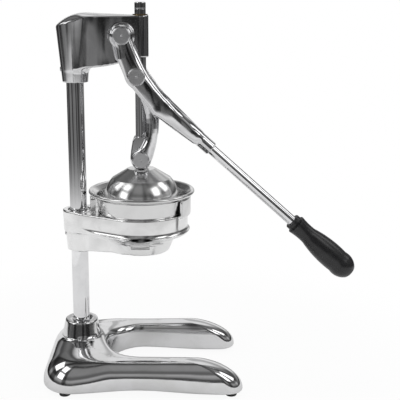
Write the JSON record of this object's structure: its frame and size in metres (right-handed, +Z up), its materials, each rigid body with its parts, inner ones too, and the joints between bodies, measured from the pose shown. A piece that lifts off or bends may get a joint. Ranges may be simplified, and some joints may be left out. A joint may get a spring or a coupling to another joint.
{
  "type": "lever citrus juice press",
  "caption": "Stand-up citrus press: forked hand lever and link drive a ram and domed presser into a strainer bowl.",
  "frame": {"origin": "on the table, under the axis of the ram, the bowl and the glass", "axes": "+X towards the end of the handle, +Y away from the viewer of the picture, +Z up"},
  "size_m": [0.3539, 0.152, 0.42],
  "materials": {
    "polished_casting": "polished mirror bright",
    "chromed_steel": "bright, with faint lengthwise polish lines",
    "stainless_steel": "satin, spun round the axis",
    "pin_steel": "grey turned faces",
    "screw_steel": "plain zinc grey",
    "bush_bronze": "turned",
    "foot_rubber": "matt black",
    "grip_black": "black, soft gloss"
  },
  "bodies": {
    "frame": {"base": "polished_casting", "foot_near_rear": "foot_rubber", "foot_far_rear": "foot_rubber", "foot_near_front": "foot_rubber", "foot_far_front": "foot_rubber", "foot_screws": "screw_steel", "column": "chromed_steel", "column_washer": "screw_steel", "column_bolt": "screw_steel", "head": "polished_casting", "head_set_screw": "screw_steel", "carrier_set_screws": "screw_steel", "lower_ram_bush": "bush_bronze", "upper_ram_bush": "bush_bronze", "bowl": "stainless_steel", "strainer": "stainless_steel", "bowl_carrier": "polished_casting"},
    "hand_lever": {"lever": "polished_casting", "handle_rod": "chromed_steel", "grip": "grip_black", "upper_pin": "pin_steel", "upper_clip": "pin_steel", "near_stub_pin": "pin_steel", "far_stub_pin": "pin_steel"},
    "ram_group": {"ram": "chromed_steel", "ram_ring": "pin_steel", "crosshead": "polished_casting", "pressing_dome": "stainless_steel", "dome_washer": "screw_steel", "dome_bolt": "screw_steel"},
    "link_group": {"link": "polished_casting", "lower_pin": "pin_steel", "lower_clip": "pin_steel", "near_link_bush": "bush_bronze", "far_link_bush": "bush_bronze"}
  },
  "joints": [
    {"name": "lever_swing", "type": "hinge", "parent": "frame", "child": "hand_lever", "pos_m": [-0.0187, 0, 0.3856], "axis": [0, -1, 0], "range_deg": [0, 90]},
    {"name": "ram_slide", "type": "slide", "parent": "frame", "child": "ram_group", "axis": [0, 0, 1], "range_m": [0, 0.0603]},
    {"name": "link_swing", "type": "hinge", "parent": "ram_group", "child": "link_group", "pos_m": [0, 0, 0.2534], "axis": [0, 1, 0], "range_deg": [0, 17.5]}
  ],
  "couplings": [
    {"joint": "ram_slide", "follows": "lever_swing", "m_per_rad": 0.038374},
    {"joint": "link_swing", "follows": "lever_swing", "ratio": 0.19403}
  ]
}
